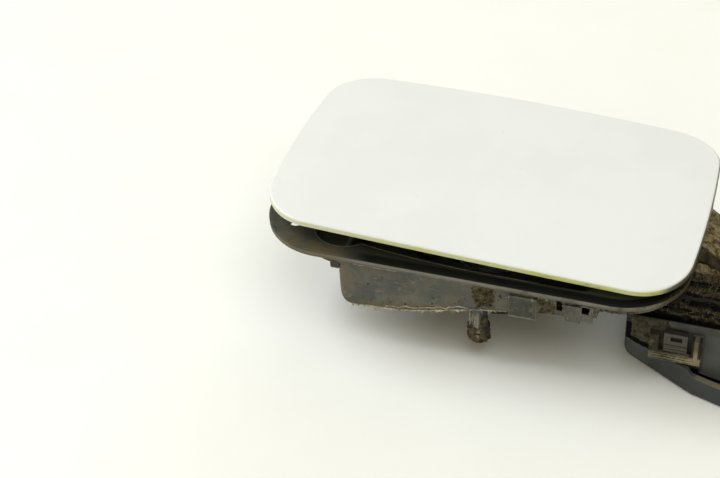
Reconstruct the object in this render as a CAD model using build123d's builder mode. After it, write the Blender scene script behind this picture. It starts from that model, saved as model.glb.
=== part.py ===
import os
from math import cos, radians, sin, sqrt, tan

from build123d import *

os.makedirs("parts", exist_ok=True)

# Frame: +X along the door towards its hinge, +Z out of the car body, and z = 0
# is the seat of the housing flange on the body, at the centre of its four holes.

# Door panel, given in its shut position
door_half_x = 95.6
door_half_y = 60.1
door_bow_x = 3.1
door_bow_y = 2.3
door_corner = 24.5
crown_along = 2474.0
crown_across = 546.0
door_top = 11.8
skin_thick = 0.9
hem_depth = 2.6
hem_width = 9.0
hem_play = 0.05
inner_thick = 1.0
dish_inset = 19.0
dish_depth = 7.2
dish_foot = 4.0
dish_taper = 30.0
edge_round = 1.2

# Hinge: an arm under the door that turns about a cross pin beside the bowl
hinge_x = 121.0
hinge_z = -20.0
ajar_angle = 2.4
arm_half = 14.0
arm_plate = 3.5
arm_plate_x = 22.0
arm_rib = 2.5
arm_rib_thick = 1.2
arm_rib_length = 34.0
arm_screw = 2.5
arm_screw_head = 4.4
arm_screw_places = ((29, -8), (29, 8), (52, 0))
stem_angle = 147.0
stem_length = 42.0
stem_thick = 7.0
hub_radius = 6.5
hub_end = 3.0
pin_radius = 3.0
bush_radius = 4.3
bush_length = 7.5
running_fit = 0.05
pin_overhang = 4.0
retainer_radius = 6.0
retainer_thick = 1.2
spring_wire = 0.75
spring_turns = 4
spring_leg = 8.0
spring_arm_leg = 18.0
spring_side = 1.5

# Housing flange
flange_half_x = 95.3
flange_half_y = 62.3
flange_corner = 31.0
flange_end_corner = 29.0
flange_end_bulge = 1.2
flange_end_bow = 6.0
flange_thick = 3.0
flange_round = 0.8
screw_x = flange_half_x - 16.3
screw_y = flange_half_y - 17.8
screw_hole = 3.4
wall = 2.5

# Skirt under the flange, lower towards the lock end
skirt_left = -55.8
skirt_right = 60.5
skirt_half_y = 59.5
skirt_corner = 5.5
skirt_toe = 7.0
skirt_low = -26.6
skirt_foot = ((-24.0, -24.0), (10.0, -15.6), (42.0, -10.4), (80.5, -6.0))
lip_depth = 4.0
lip_inset = 3.0

# Tray behind the door, with a round bay in each lock-side corner
tray_left = -52.0
tray_right = 58.0
tray_half_y = 57.0
tray_arc_x = 17.0
tray_arc_y = 51.0
tray_arc_mid = 56.0
tray_floor = -8.0
bay_x = -56.0
bay_y = 42.0
bay_radius = 14.3
bay_floor = -2.0
bay_lug_x = -56.4
bay_lug_half = 1.9
bay_lug_low = -7.6

# Filler bowl, boot and drain
bowl_x = 3.0
bowl_radius = 48.0
bowl_floor = -23.0
bowl_draft = 2.5
neck_hole = 31.0
boot_radius = 26.0
boot_bore = 22.5
boot_flange = 41.0
boot_flange_thick = 2.0
ring_thick = 2.5
ring_screw_circle = 37.0
ring_screw_radius = 1.6
drain_x = 8.0
drain_y = -53.6
drain_radius = 4.0
drain_foot = 4.6
drain_foot_length = 7.0
drain_bore = 2.4
drain_end = -36.0

# Hinge pocket and its clip-on cover
floor_z = -48.0
cover_thick = 2.5
pocket_left = 71.0
pocket_right = 134.0
pocket_front = -45.0
pocket_back = 30.0
pocket_roof = -10.5
pocket_shoulder = -18.0
throat_half = 16.5
cheek_thick = 4.0
roof_start = 130.0
cover_left = 68.4
cover_right = 137.0
cover_front = -53.0
cover_back = 36.0
cover_cut_x = 101.5
cover_cut_y = -34.0
cover_flare = 11.0
cover_edge = 1.5
cover_corner = 10.0
cover_back_corner = 18.0
rim_line = ((60, -28.5), (72, -29), (82, -35.5), (99, -35.5), (101, -37.5), (145, -37.5))
fit_gap = 0.1
catch_x = 92.6
catch_half = 5.0
catch_top = -18.8
catch_low = -30.0
catch_depth = 2.4
tongue_thick = 1.6
tongue_top = -20.3
tongue_low = -39.5
loop_half = 11.0
loop_leg = 4.0
loop_top = -20.5
loop_low = -34.3
loop_thick = 2.2

# Lock
lock_z = -14.0
bolt_radius = 2.0
bolt_travel = 8.0
bolt_tip = -43.5
bolt_tail = -66.5
motor_radius = 8.5
motor_length = 14.0
spindle_radius = 0.8
case_left = -84.0
case_half_y = 12.0
case_half_z = 11.0
case_lid = 2.0
ear_y = 17.0
lock_screw = 1.8
striker_x = -40.0
striker_thick = 2.5
striker_half = 7.0
eye_half_y = 3.6
eye_half_z = 2.4
eye_bar = 1.8
nose_radius = 4.5

# Rubber stops
stop_stem = 2.2
stop_height = 2.9
stop_x = flange_half_x - 11.3
stop_y = 26.0

hinge_axis = Axis((hinge_x, 0, hinge_z), (0, 1, 0))
dish_z = door_top - dish_depth
bowl_under = bowl_floor - wall
tray_under = tray_floor - wall
bay_under = bay_floor - wall
cover_top = floor_z + cover_thick


# Outline with four gently bowed sides and round corners
def bowed_outline(inset):
    half_x = door_half_x - inset
    half_y = door_half_y - inset
    end_x = half_x - door_bow_x
    end_y = half_y - door_bow_y
    with BuildSketch() as outline:
        with BuildLine():
            ThreePointArc((-end_x, -end_y), (0, -half_y), (end_x, -end_y))
            ThreePointArc((end_x, -end_y), (half_x, 0), (end_x, end_y))
            ThreePointArc((end_x, end_y), (0, half_y), (-end_x, end_y))
            ThreePointArc((-end_x, end_y), (-half_x, 0), (-end_x, -end_y))
        make_face()
        fillet(outline.vertices(), max(door_corner - inset, 4.0))
    return outline.sketch


# Sheet that follows the door's crown between two depths below its outside
def crowned_sheet(upper, lower, inset):
    turn = 3.0
    reach = door_half_y + 5
    lean = radians(turn)
    start = Plane(
        origin=(-crown_along * sin(lean), 0, door_top - crown_along + crown_along * cos(lean)),
        x_dir=(0, 1, 0),
        z_dir=(cos(lean), 0, sin(lean)),
    )
    upper_side = sqrt((crown_across - upper) ** 2 - reach**2) - crown_across
    lower_side = sqrt((crown_across - lower) ** 2 - reach**2) - crown_across
    with BuildPart() as sheet:
        with BuildSketch(start):
            with BuildLine():
                ThreePointArc((-reach, upper_side), (0, -upper), (reach, upper_side))
                Line((reach, upper_side), (reach, lower_side))
                ThreePointArc((reach, lower_side), (0, -lower), (-reach, lower_side))
                Line((-reach, lower_side), (-reach, upper_side))
            make_face()
        revolve(
            axis=Axis((0, 0, door_top - crown_along), (0, 1, 0)),
            revolution_arc=2 * turn,
        )
        with BuildSketch(Plane.XY.offset(door_top - 40)):
            add(bowed_outline(inset))
        extrude(amount=80, mode=Mode.INTERSECT)
    return sheet.part


# Block that follows the door's outline and widens upwards
def dish_block(low_z, inset, height):
    with BuildPart() as block:
        with BuildSketch(Plane.XY.offset(low_z)):
            add(bowed_outline(inset))
        with BuildSketch(Plane.XY.offset(low_z + height)):
            add(bowed_outline(inset - height * tan(radians(dish_taper))))
        loft(ruled=True)
    return block.part


# Outline of the flange, bowed at its hinge end
def flange_outline(inset):
    bulge_x = flange_half_x + flange_end_bulge
    with BuildSketch() as outline:
        with BuildLine():
            Polyline(
                (bulge_x - flange_end_bow, flange_half_y),
                (-flange_half_x, flange_half_y),
                (-flange_half_x, -flange_half_y),
                (bulge_x - flange_end_bow, -flange_half_y),
            )
            ThreePointArc(
                (bulge_x - flange_end_bow, -flange_half_y),
                (bulge_x, 0),
                (bulge_x - flange_end_bow, flange_half_y),
            )
        make_face()
        fillet(outline.vertices().group_by(Axis.X)[-1], flange_end_corner)
        fillet(outline.vertices().group_by(Axis.X)[0], flange_corner)
        if inset > 0:
            offset(amount=-inset)
    return outline.sketch


# Opening of the tray
def tray_outline(grow):
    with BuildSketch() as outline:
        with BuildLine():
            Line((tray_left, tray_arc_y), (tray_left, -tray_arc_y))
            ThreePointArc(
                (tray_left, -tray_arc_y),
                ((tray_left + tray_arc_x) / 2, -tray_arc_mid),
                (tray_arc_x, -tray_half_y),
            )
            Line((tray_arc_x, -tray_half_y), (tray_right, -tray_half_y))
            Line((tray_right, -tray_half_y), (tray_right, tray_half_y))
            Line((tray_right, tray_half_y), (tray_arc_x, tray_half_y))
            ThreePointArc(
                (tray_arc_x, tray_half_y),
                ((tray_left + tray_arc_x) / 2, tray_arc_mid),
                (tray_left, tray_arc_y),
            )
        make_face()
        fillet(outline.vertices().sort_by(Axis.X)[-2:], 6)
        if grow > 0:
            offset(amount=grow)
    return outline.sketch


# Outline of the hinge pocket cover, with its front corner cut away
def cover_outline(inset):
    with BuildSketch() as outline:
        with BuildLine():
            Polyline(
                (cover_left, cover_back),
                (cover_left, cover_cut_y),
                (cover_cut_x, cover_front),
                (cover_right, cover_front - cover_flare),
                (cover_right, cover_back),
                close=True,
            )
        make_face()
        fillet(outline.vertices().group_by(Axis.X)[-1], cover_corner)
        fillet(outline.vertices().group_by(Axis.X)[0].sort_by(Axis.Y)[-1], cover_back_corner)
        fillet(outline.vertices().group_by(Axis.X)[0].sort_by(Axis.Y)[0], cover_corner)
        if inset > 0:
            offset(amount=-inset)
    return outline.sketch


# Everything above the cover's rim, raised by a gap
def above_rim(gap):
    with BuildPart() as block:
        with BuildSketch(Plane.XZ):
            with BuildLine():
                rim = [(x, z + gap) for x, z in rim_line]
                Polyline(*rim, (rim_line[-1][0], 20), (rim_line[0][0], 20), close=True)
            make_face()
        extrude(amount=100, both=True)
    return block.part


# Outer skin of the door: crowned, with its edge folded over the inner panel
with BuildPart() as door_skin:
    add(crowned_sheet(0, hem_depth, 0))
    fillet(door_skin.faces().sort_by(Axis.Z)[-1].edges(), edge_round)
    add(
        crowned_sheet(skin_thick, skin_thick + inner_thick + 2 * hem_play, skin_thick),
        mode=Mode.SUBTRACT,
    )
    add(crowned_sheet(skin_thick + inner_thick / 2, hem_depth + 6, hem_width), mode=Mode.SUBTRACT)

# Inner panel: a rim held in the hem and a dished middle
with BuildPart() as door_inner:
    add(crowned_sheet(skin_thick + hem_play, skin_thick + hem_play + inner_thick, skin_thick + 0.3))
    add(dish_block(dish_z, dish_inset + dish_foot, dish_depth + 3))
    add(
        dish_block(dish_z + inner_thick, dish_inset + dish_foot + inner_thick, dish_depth + 4),
        mode=Mode.SUBTRACT,
    )
    add(crowned_sheet(-20, skin_thick + hem_play, 0), mode=Mode.SUBTRACT)

# Arm: plate under the door, stem and hub
stem_dir = (cos(radians(stem_angle)), sin(radians(stem_angle)))
stem_x = hinge_x + stem_length * stem_dir[0]
with BuildPart() as hinge_arm:
    with BuildSketch(Plane.XZ):
        with Locations(((arm_plate_x + stem_x) / 2, dish_z - arm_plate / 2)):
            Rectangle(stem_x - arm_plate_x, arm_plate)
        with Locations((hinge_x + stem_length / 2 * stem_dir[0], hinge_z + stem_length / 2 * stem_dir[1])):
            Rectangle(stem_length, stem_thick, rotation=stem_angle)
        with Locations((stem_x, hinge_z + stem_length * stem_dir[1])):
            Circle(stem_thick / 2)
        with Locations((hinge_x, hinge_z)):
            Circle(hub_radius)
    extrude(amount=arm_half, both=True)
    with BuildSketch(Plane.XZ.offset(-arm_half)):
        with Locations((hinge_x, hinge_z)):
            Circle(hub_radius + stem_thick)
    extrude(amount=arm_half - hub_end, mode=Mode.SUBTRACT)
    with BuildSketch(Plane.XZ.offset(-hub_end)):
        with Locations((hinge_x, hinge_z)):
            Circle(bush_radius)
    extrude(amount=arm_half + hub_end, mode=Mode.SUBTRACT)
    with BuildSketch(Plane.XY.offset(dish_z)):
        with Locations((stem_x, 0)):
            Rectangle(stem_thick * 2, 3 * arm_half)
    extrude(amount=stem_thick, mode=Mode.SUBTRACT)
    with BuildSketch(Plane.XY.offset(dish_z - arm_plate)):
        rib_x = arm_plate_x + arm_rib_length / 2
        rib_y = arm_half - arm_rib_thick / 2
        with Locations((rib_x, rib_y), (rib_x, -rib_y)):
            Rectangle(arm_rib_length, arm_rib_thick)
    extrude(amount=-arm_rib)
    with BuildSketch(Plane.XY.offset(dish_z)):
        with Locations(*arm_screw_places):
            Circle(arm_screw)
    extrude(amount=-arm_plate, mode=Mode.SUBTRACT)

# Screws that hold the arm to the inner panel
with BuildPart() as arm_screws:
    with Locations(*arm_screw_places):
        with Locations((0, 0, dish_z - arm_plate / 2)):
            Cylinder(arm_screw - fit_gap, arm_plate)
        with Locations((0, 0, dish_z - arm_plate - 1.3)):
            Cylinder(arm_screw_head, 2.6)
        with Locations((0, 0, dish_z - arm_plate - 2.6)):
            Cylinder(1.8, 2.4, mode=Mode.SUBTRACT)

# Plain bushes pressed in the hub
with BuildPart() as arm_bushes:
    for bush_y in (-arm_half, hub_end - bush_length):
        with BuildSketch(Plane.XZ.offset(-bush_y)):
            with Locations((hinge_x, hinge_z)):
                Circle(bush_radius)
                Circle(pin_radius + running_fit, mode=Mode.SUBTRACT)
        extrude(amount=-bush_length)

# Striker: a strap with an eye for the lock bolt
eye_low = lock_z - eye_half_z - eye_bar
with BuildPart() as lock_striker:
    with BuildSketch(Plane.XZ):
        with BuildLine():
            Polyline(
                (striker_x, eye_low),
                (striker_x + striker_thick, eye_low),
                (striker_x + striker_thick, dish_z - striker_thick),
                (striker_x + 24, dish_z - striker_thick),
                (striker_x + 24, dish_z),
                (striker_x, dish_z),
                close=True,
            )
        make_face()
    extrude(amount=striker_half, both=True)
    with BuildSketch(Plane.YZ.offset(striker_x - 1)):
        with Locations((0, lock_z)):
            RectangleRounded(2 * eye_half_y, 2 * eye_half_z, 1)
    extrude(amount=striker_thick + 2, mode=Mode.SUBTRACT)
    with Locations((striker_x + 9, 0, dish_z), (striker_x + 19, 0, dish_z)):
        Cylinder(2.1, 12, mode=Mode.SUBTRACT)

# Rivets of the striker
with BuildPart() as striker_rivets:
    with Locations((striker_x + 9, 0), (striker_x + 19, 0)):
        with Locations((0, 0, dish_z - striker_thick / 2)):
            Cylinder(2.1, striker_thick)
        with Locations((0, 0, dish_z - striker_thick - 0.7)):
            Cylinder(3.8, 1.4)

# Skirt seen from the front, with a rounded toe at its low end
with BuildSketch() as skirt_side:
    with BuildLine():
        Polyline(
            (skirt_left, skirt_low),
            *skirt_foot,
            (skirt_foot[-1][0], 50),
            (skirt_left, 50),
            close=True,
        )
    make_face()
    fillet(skirt_side.vertices().group_by(Axis.X)[0].sort_by(Axis.Y)[0], skirt_toe)

# Space the cover's wall takes round the foot of the hinge pocket
with BuildPart() as foot_trim:
    with BuildSketch(Plane.XY.offset(cover_top)):
        with Locations(((pocket_left + pocket_right) / 2, 0)):
            Rectangle(pocket_right - pocket_left + 4, 120)
        add(cover_outline(cover_thick + fit_gap), mode=Mode.SUBTRACT)
    extrude(amount=-cover_top)
    add(above_rim(fit_gap), mode=Mode.SUBTRACT)

# Housing: flange, skirt, tray, bowl, drain and hinge pocket in one moulding
cheek_out = throat_half + cheek_thick
with BuildPart() as housing:
    with BuildSketch():
        add(flange_outline(0))
    extrude(amount=flange_thick)
    fillet(housing.edges().group_by(Axis.Z)[-1], flange_round)
    with BuildSketch():
        with BuildLine():
            Polyline(
                (skirt_left, -skirt_half_y),
                (skirt_right, -skirt_half_y),
                (skirt_right, skirt_half_y),
                (skirt_left, skirt_half_y),
                close=True,
            )
        skirt_face = make_face()
        fillet(skirt_face.vertices().group_by(Axis.X)[0], skirt_corner)
        offset(amount=-wall, mode=Mode.SUBTRACT)
    extrude(amount=skirt_low)
    with BuildSketch(Plane.XZ):
        with Locations(((skirt_left + skirt_right) / 2, (skirt_low - 20) / 2)):
            Rectangle(skirt_right - skirt_left + 10, 20 - skirt_low)
        add(skirt_side.sketch, mode=Mode.SUBTRACT)
    extrude(amount=skirt_half_y + 10, both=True, mode=Mode.SUBTRACT)
    with BuildSketch():
        add(flange_outline(lip_inset))
        add(flange_outline(lip_inset + wall), mode=Mode.SUBTRACT)
        with Locations((skirt_right / 2 - 75, 0)):
            Rectangle(150 + skirt_right, 200, mode=Mode.SUBTRACT)
    extrude(amount=-lip_depth)
    with BuildSketch():
        add(tray_outline(wall))
    extrude(amount=tray_under)
    with BuildSketch():
        with Locations((bay_x, -bay_y), (bay_x, bay_y)):
            Circle(bay_radius + wall)
    extrude(amount=bay_under)
    with BuildSketch():
        for lug_y in (-bay_y - bay_radius, bay_y + bay_radius):
            with Locations((bay_lug_x, lug_y)):
                Rectangle(2 * bay_lug_half, 2 * wall)
    extrude(amount=bay_lug_low)
    with BuildSketch(Plane.XY.offset(tray_floor - 0.5)):
        with Locations((bowl_x, 0)):
            Circle(bowl_radius + wall)
    extrude(amount=bowl_under - tray_floor + 0.5, taper=bowl_draft)
    with Locations((drain_x, drain_y, (drain_end + tray_floor) / 2)):
        Cylinder(drain_radius, tray_floor - drain_end)
    with Locations((drain_x, drain_y, drain_end + drain_foot_length / 2)):
        Cylinder(drain_foot, drain_foot_length)
    with Locations((bowl_x, 0, bowl_under - 2.5)):
        with PolarLocations(ring_screw_circle, 4, start_angle=45):
            Cylinder(3.6, 5.0)
    with BuildSketch(Plane.YZ.offset(pocket_left)):
        with BuildLine():
            Polyline(
                (pocket_front, cover_top),
                (pocket_front, pocket_shoulder),
                (-throat_half - 8.5, pocket_roof),
                (pocket_back - 4, pocket_roof),
                (pocket_back, pocket_roof - 4),
                (pocket_back, cover_top),
                close=True,
            )
        make_face()
    extrude(amount=pocket_right - pocket_left)
    with BuildSketch(Plane.YZ.offset(pocket_left + wall)):
        with BuildLine():
            Polyline(
                (pocket_front + wall, cover_top - 1),
                (pocket_front + wall, pocket_shoulder - wall),
                (-throat_half - 8.5, pocket_roof - wall),
                (pocket_back - 4, pocket_roof - wall),
                (pocket_back - wall, pocket_roof - 4 - wall),
                (pocket_back - wall, cover_top - 1),
                close=True,
            )
        make_face()
    extrude(amount=pocket_right - pocket_left - 2 * wall, mode=Mode.SUBTRACT)
    add(foot_trim.part, mode=Mode.SUBTRACT)
    for bead_y, bead_z, bead_radius in ((-30.5, -14.4, 5.0), (-38.3, -16.6, 3.2), (-43.0, -18.6, 2.4)):
        with BuildSketch(Plane.YZ.offset(pocket_left)):
            with Locations((bead_y, bead_z)):
                Circle(bead_radius)
        extrude(amount=pocket_right - pocket_left)
    with BuildSketch(Plane.XZ):
        with BuildLine():
            Polyline(
                (tray_right, -1.0),
                (flange_half_x - 4, 0.5),
                (flange_half_x - 4, pocket_roof + 1),
                (pocket_right - 1, pocket_roof - 0.5),
                (pocket_right - 1, cover_top + 6),
                (pocket_left + 1, cover_top + 6),
                (pocket_left + 1, -3.5),
                (tray_right, -3.5),
                close=True,
            )
        make_face()
    extrude(amount=cheek_out, both=True)
    with BuildSketch(Plane.XZ):
        with BuildLine():
            Polyline(
                (tray_right - 3, flange_thick + 5),
                (roof_start, flange_thick + 5),
                (roof_start, pocket_roof - wall),
                (pocket_right - wall, pocket_roof - wall),
                (pocket_right - wall, cover_top - 1),
                (pocket_left + wall, cover_top - 1),
                (pocket_left + wall, -1.0),
                (tray_right - 3, -1.0),
                close=True,
            )
        make_face()
    extrude(amount=throat_half, both=True, mode=Mode.SUBTRACT)
    with BuildSketch(Plane.XY.offset(flange_thick)):
        add(tray_outline(0))
    extrude(amount=tray_floor - flange_thick, mode=Mode.SUBTRACT)
    with BuildSketch(Plane.XY.offset(flange_thick)):
        with Locations((bay_x, -bay_y), (bay_x, bay_y)):
            Circle(bay_radius)
    extrude(amount=bay_floor - flange_thick, mode=Mode.SUBTRACT)
    with BuildSketch(Plane.XY.offset(tray_floor)):
        with Locations((bowl_x, 0)):
            Circle(bowl_radius)
    extrude(amount=bowl_floor - tray_floor, taper=bowl_draft, mode=Mode.SUBTRACT)
    with Locations((bowl_x, 0, bowl_floor)):
        Cylinder(neck_hole, 30, mode=Mode.SUBTRACT)
    with Locations((drain_x, drain_y, (drain_end + tray_floor) / 2)):
        Cylinder(drain_bore, tray_floor - drain_end + 1, mode=Mode.SUBTRACT)
    with Locations((bowl_x, 0, bowl_floor)):
        with PolarLocations(ring_screw_circle, 4, start_angle=45):
            Cylinder(ring_screw_radius, 14, mode=Mode.SUBTRACT)
    with GridLocations(2 * screw_x, 2 * screw_y, 2, 2):
        Cylinder(screw_hole, 12, mode=Mode.SUBTRACT)
    with GridLocations(2 * stop_x, 2 * stop_y, 2, 2):
        Cylinder(stop_stem, 12, mode=Mode.SUBTRACT)
    with BuildSketch(Plane.YZ.offset(skirt_left)):
        with Locations((-ear_y, lock_z), (ear_y, lock_z)):
            Circle(3.8)
    extrude(amount=9)
    with BuildSketch(Plane.YZ.offset(skirt_left - 1)):
        with Locations((-ear_y, lock_z), (ear_y, lock_z)):
            Circle(lock_screw)
    extrude(amount=9, mode=Mode.SUBTRACT)
    with BuildSketch(Plane.YZ.offset(skirt_left - 1)):
        with Locations((0, lock_z)):
            Circle(nose_radius + 0.2)
    extrude(amount=bowl_x - bowl_radius + 6 - skirt_left, mode=Mode.SUBTRACT)
    with BuildSketch(Plane.XZ.offset(-cheek_out - 1)):
        with Locations((hinge_x, hinge_z)):
            Circle(pin_radius)
    extrude(amount=2 * cheek_out + 2, mode=Mode.SUBTRACT)
    with BuildSketch(Plane.XZ.offset(skirt_half_y - 0.1)):
        with Locations((29, -8.9)):
            Rectangle(12, 11.2)
        with Locations((50.3, -7.5)):
            Rectangle(6.6, 8.8)
        with Locations((56.4, -6.2)):
            Rectangle(5.4, 8.8)
    extrude(amount=1.3)
    with BuildSketch(Plane.XZ.offset(skirt_half_y - 1.8)):
        with Locations((44.6, -4.8)):
            Rectangle(2.6, 6.0)
        with Locations((55.9, -4.4)):
            Rectangle(3.4, 3.8)
    extrude(amount=5, mode=Mode.SUBTRACT)
    with BuildSketch(Plane.XZ.offset(-pocket_front - 0.1)):
        for leg_x in (catch_x - loop_half + loop_leg / 2, catch_x + loop_half - loop_leg / 2):
            with Locations((leg_x, (loop_top + loop_low) / 2)):
                Rectangle(loop_leg, loop_top - loop_low)
    extrude(amount=tongue_thick + loop_thick + 0.5)
    with BuildSketch(Plane.XZ.offset(-pocket_front + tongue_thick + 0.4)):
        with Locations((catch_x, (catch_low + loop_low) / 2 - fit_gap)):
            Rectangle(2 * loop_half, catch_low - loop_low - 2 * fit_gap)
    extrude(amount=loop_thick)

# Clip-on cover that closes the hinge pocket from below, with a tongue and its catch
tongue_front = pocket_front - fit_gap
with BuildPart() as hinge_cover:
    with BuildSketch(Plane.XY.offset(floor_z)):
        add(cover_outline(0))
    extrude(amount=rim_line[0][1] - floor_z)
    fillet(hinge_cover.edges().group_by(Axis.Z)[0], cover_edge)
    with BuildSketch(Plane.XY.offset(cover_top)):
        add(cover_outline(cover_thick))
    extrude(amount=40, mode=Mode.SUBTRACT)
    add(above_rim(0), mode=Mode.SUBTRACT)
    with BuildSketch(Plane.XZ.offset(-tongue_front)):
        with Locations((catch_x, (tongue_top + tongue_low) / 2)):
            Rectangle(2 * catch_half, tongue_top - tongue_low)
    extrude(amount=tongue_thick)
    with BuildSketch(Plane.XZ.offset(-tongue_front + tongue_thick)):
        with Locations((catch_x, (catch_top + catch_low) / 2)):
            Rectangle(2 * catch_half, catch_top - catch_low)
    extrude(amount=catch_depth - 0.8)
    with BuildSketch(Plane.XZ.offset(-tongue_front + tongue_thick)):
        with Locations((catch_x, catch_top - 3.6)):
            Rectangle(2 * catch_half, 7.2)
    extrude(amount=catch_depth)
    with BuildSketch(Plane.XZ.offset(-tongue_front + tongue_thick + catch_depth - 1.4)):
        with Locations((catch_x + 0.3, catch_top - 2.9)):
            Rectangle(4.8, 2.6)
    extrude(amount=2, mode=Mode.SUBTRACT)

# Cross pin and its push-on retainers
pin_half = cheek_out + pin_overhang
with BuildPart() as hinge_pin:
    with BuildSketch(Plane.XZ.offset(-pin_half)):
        with Locations((hinge_x, hinge_z)):
            Circle(pin_radius)
    extrude(amount=2 * pin_half)
    chamfer(hinge_pin.edges(), 0.5)

with BuildPart() as pin_retainers:
    for side in (-1, 1):
        with BuildSketch(Plane.XZ.offset(side * (cheek_out + fit_gap))):
            with Locations((hinge_x, hinge_z)):
                Circle(retainer_radius)
                Circle(pin_radius, mode=Mode.SUBTRACT)
        extrude(amount=side * retainer_thick)

# Wound spring on the pin, one leg under the pocket roof and one on the arm's stem
spring_radius = stem_thick / 2 + spring_wire + 0.2
spring_turn = spring_turns + (stem_angle - ajar_angle) / 360
spring_length = throat_half - hub_end - 2 * spring_side - fit_gap
with BuildPart() as hinge_spring:
    with BuildLine() as spring_path:
        coil = Helix(
            pitch=spring_length / spring_turn,
            height=spring_length,
            radius=spring_radius,
            center=(hinge_x, throat_half - spring_side, hinge_z),
            direction=(0, -1, 0),
        )
        Line(coil @ 0 - spring_leg * (coil % 0), coil @ 0)
        Line(coil @ 1, coil @ 1 + spring_arm_leg * (coil % 1))
    with BuildSketch(Plane(origin=coil @ 0 - spring_leg * (coil % 0), z_dir=coil % 0)):
        Circle(spring_wire)
    sweep(path=spring_path.wires()[0])

# Rubber boot that seals the bowl round the filler neck
with BuildPart() as filler_boot:
    with BuildSketch(Plane.XZ):
        with BuildLine():
            Polyline(
                (bowl_x + neck_hole - 3, bowl_floor + boot_flange_thick),
                (bowl_x + boot_flange, bowl_floor + boot_flange_thick),
                (bowl_x + boot_flange, bowl_floor),
                (bowl_x + neck_hole - 0.3, bowl_floor),
                (bowl_x + neck_hole - 0.3, bowl_under - 1.5),
                (bowl_x + boot_radius + 1, bowl_under - 6),
                (bowl_x + boot_radius + 2.6, bowl_under - 10),
                (bowl_x + boot_radius, bowl_under - 14),
                (bowl_x + boot_radius, floor_z),
                (bowl_x + boot_bore, floor_z),
                (bowl_x + boot_bore, bowl_under - 14.5),
                (bowl_x + boot_radius - 0.4, bowl_under - 10),
                (bowl_x + boot_radius - 1.9, bowl_under - 6),
                (bowl_x + neck_hole - 3, bowl_under - 1),
                close=True,
            )
        make_face()
    revolve(axis=Axis((bowl_x, 0, 0), (0, 0, 1)))
    with Locations((bowl_x, 0, bowl_floor)):
        with PolarLocations(ring_screw_circle, 4, start_angle=45):
            Cylinder(ring_screw_radius + fit_gap, 12, mode=Mode.SUBTRACT)

# Ring that clamps the boot, and its screws
ring_top = bowl_floor + boot_flange_thick + ring_thick
with BuildPart() as boot_ring:
    with BuildSketch(Plane.XY.offset(ring_top - ring_thick)):
        with Locations((bowl_x, 0)):
            Circle(boot_flange)
            Circle(neck_hole, mode=Mode.SUBTRACT)
            with PolarLocations(ring_screw_circle, 4, start_angle=45):
                Circle(ring_screw_radius + fit_gap, mode=Mode.SUBTRACT)
    extrude(amount=ring_thick)

with BuildPart() as ring_screws:
    with Locations((bowl_x, 0, ring_top)):
        with PolarLocations(ring_screw_circle, 4, start_angle=45):
            with Locations((0, 0, (bowl_under - 4 - ring_top) / 2)):
                Cylinder(ring_screw_radius, ring_top - bowl_under + 4)
            with Locations((0, 0, 1)):
                Cylinder(3.1, 2)
            with Locations((0, 0, 2)):
                Cylinder(1.3, 2, mode=Mode.SUBTRACT)

# Rubber stops in the flange that the door shuts on
with BuildPart() as bump_stops:
    with GridLocations(2 * stop_x, 2 * stop_y, 2, 2):
        with Locations((0, 0, flange_thick / 2 - 0.5)):
            Cylinder(stop_stem, flange_thick + 1)
        with Locations((0, 0, flange_thick + stop_height / 2)):
            Cone(4.2, 3.2, stop_height)
        with Locations((0, 0, -2)):
            Cone(1.6, 2.9, 2)

# Lock: case, lid, motor and screws under the flange
with BuildPart() as lock_case:
    with BuildSketch(Plane.YZ.offset(case_left + case_lid)):
        with Locations((0, lock_z)):
            RectangleRounded(2 * case_half_y, 2 * case_half_z, 4)
    extrude(amount=skirt_left - case_left - case_lid)
    with BuildSketch(Plane.YZ.offset(skirt_left)):
        with Locations((0, lock_z)):
            RectangleRounded(2 * ear_y + 9, 9, 4.4)
    extrude(amount=-3)
    with BuildSketch(Plane.YZ.offset(skirt_left)):
        with Locations((0, lock_z)):
            Circle(nose_radius)
    extrude(amount=5)
    with BuildSketch(Plane.YZ.offset(case_left + case_lid)):
        with Locations((0, lock_z)):
            Circle(motor_radius)
    extrude(amount=motor_length, mode=Mode.SUBTRACT)
    with BuildSketch(Plane.YZ.offset(case_left)):
        with Locations((0, lock_z)):
            Circle(bolt_radius + running_fit)
    extrude(amount=60, mode=Mode.SUBTRACT)
    with BuildSketch(Plane.YZ.offset(skirt_left - 4)):
        with Locations((-ear_y, lock_z), (ear_y, lock_z)):
            Circle(lock_screw + fit_gap)
    extrude(amount=8, mode=Mode.SUBTRACT)

with BuildPart() as lock_lid:
    with BuildSketch(Plane.YZ.offset(case_left)):
        with Locations((0, lock_z)):
            RectangleRounded(2 * case_half_y, 2 * case_half_z, 4)
    extrude(amount=case_lid)
    fillet(lock_lid.edges().group_by(Axis.X)[0], 1.0)

with BuildPart() as lock_motor:
    with BuildSketch(Plane.YZ.offset(case_left + case_lid)):
        with Locations((0, lock_z)):
            Circle(motor_radius)
    extrude(amount=motor_length)
    with BuildSketch(Plane.YZ.offset(case_left + case_lid + motor_length)):
        with Locations((0, lock_z)):
            Circle(spindle_radius)
    extrude(amount=11)

with BuildPart() as lock_screws:
    with BuildSketch(Plane.YZ.offset(skirt_left - 3)):
        with Locations((-ear_y, lock_z), (ear_y, lock_z)):
            Circle(lock_screw)
    extrude(amount=9.5)
    with BuildSketch(Plane.YZ.offset(skirt_left - 3)):
        with Locations((-ear_y, lock_z), (ear_y, lock_z)):
            Circle(3.4)
    extrude(amount=-2.2)

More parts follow.
